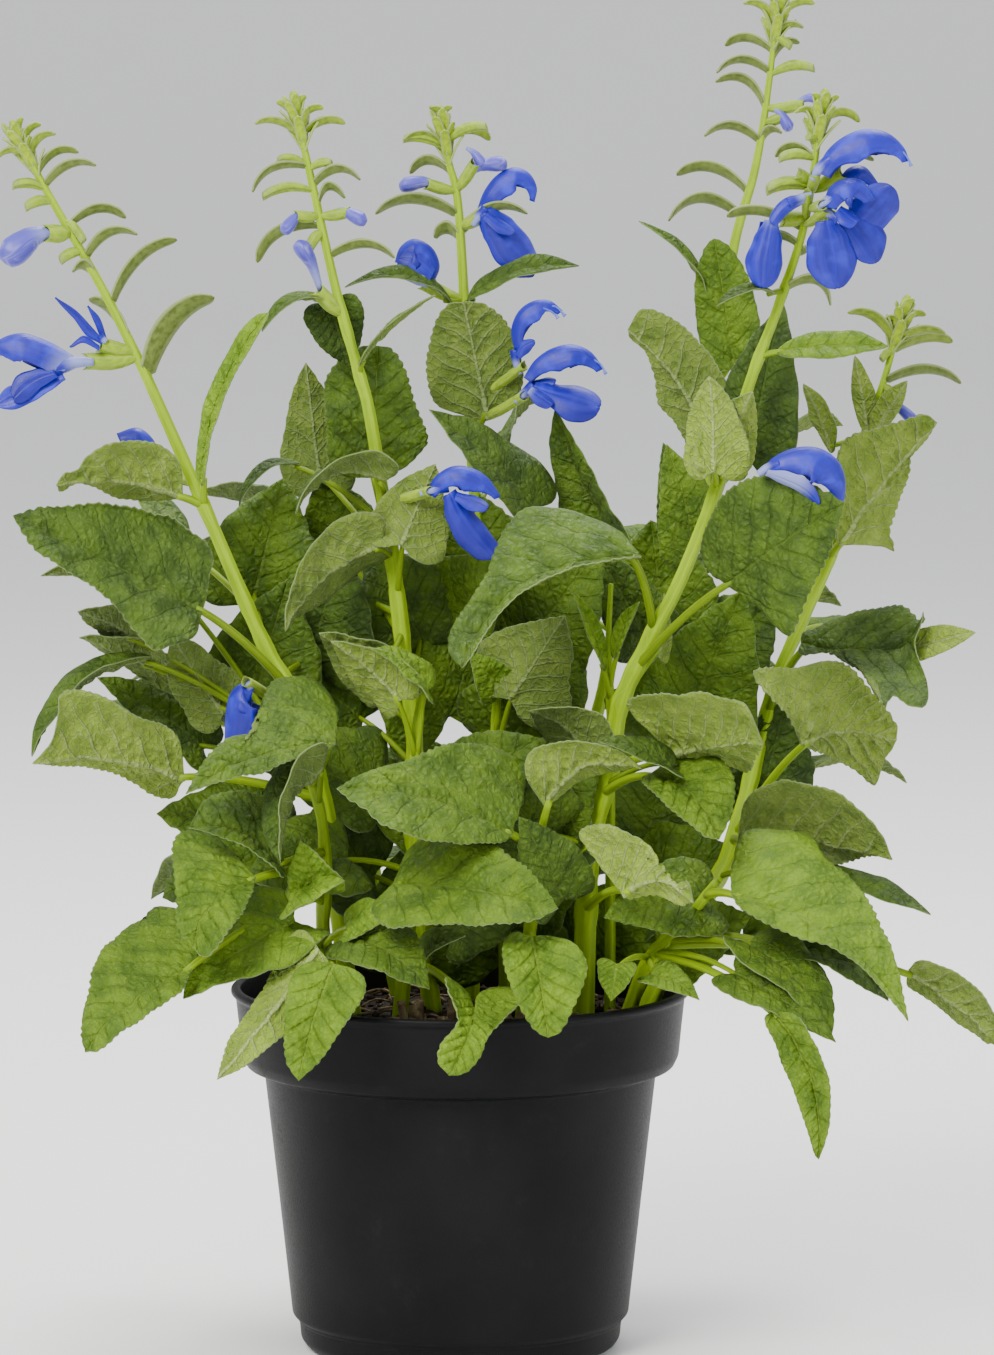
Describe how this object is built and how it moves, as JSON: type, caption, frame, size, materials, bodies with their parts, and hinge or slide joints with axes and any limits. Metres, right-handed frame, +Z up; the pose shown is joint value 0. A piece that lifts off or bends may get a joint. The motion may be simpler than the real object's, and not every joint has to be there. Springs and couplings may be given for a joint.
{
  "type": "potted perennial sage",
  "caption": "Herbaceous sage with leaning flower spikes, hooded blue flowers, recurved bracts and broad veined leaves, growing in a plain round black nursery pot.",
  "frame": {"origin": "on the pot's axis, at the surface the pot stands on", "axes": "+Z up, -Y towards the front of the plant, +X to its right"},
  "size_m": [0.3279, 0.2531, 0.4462],
  "materials": {
    "pot": "satin black moulded plastic",
    "soil": "moist peat with coarse fibres",
    "stem": "fresh green, finely hairy",
    "leaf": "matt, wrinkled, paler and hairy below",
    "petal": "soft satin petal"
  },
  "bodies": {
    "root": {"pot": "pot", "soil": "soil", "stem_left": "stem", "stem_mid_left": "stem", "stem_centre": "stem", "stem_back_right": "stem", "stem_front_right": "stem", "stem_far_right": "stem", "shoot_front_left": "stem", "shoot_mid_left": "stem", "shoot_centre": "stem", "shoot_front_centre": "stem", "shoot_front_right": "stem", "shoot_young": "stem", "shoot_back_left": "stem", "shoot_back_right": "stem", "flower_left_open": "petal", "flower_left_withered": "petal", "flower_left_behind": "petal", "flower_centre_top": "petal", "flower_centre_bud": "petal", "flower_centre_upper": "petal", "flower_centre_right": "petal", "flower_low": "petal", "flower_hanging_bud": "petal", "flower_right_top": "petal", "flower_right_mid": "petal", "flower_right_low": "petal", "flower_right_cup": "petal", "flower_resting": "petal", "leaf_left_big": "leaf", "leaf_left_pale": "leaf", "leaf_left_upright": "leaf", "leaf_left_low_pale": "leaf", "leaf_left_front": "leaf", "leaf_left_dark": "leaf", "leaf_left_side": "leaf", "leaf_left_bottom": "leaf", "leaf_left_rim": "leaf", "leaf_rim_left": "leaf", "leaf_centre_big": "leaf", "leaf_centre_low": "leaf", "leaf_rim_centre": "leaf", "leaf_rim_twisted": "leaf", "leaf_centre_pale": "leaf", "leaf_centre_right_pale": "leaf", "leaf_arch_big": "leaf", "leaf_centre_round": "leaf", "leaf_behind_left": "leaf", "leaf_right_broad": "leaf", "leaf_far_right_pale": "leaf", "leaf_right_veined": "leaf", "leaf_right_heart": "leaf", "leaf_right_curled": "leaf", "leaf_right_lit": "leaf", "leaf_right_low_pale": "leaf", "leaf_right_end": "leaf", "leaf_right_hanging": "leaf", "leaf_mid_right": "leaf", "leaf_mid_right_low": "leaf"}
  },
  "joints": []
}
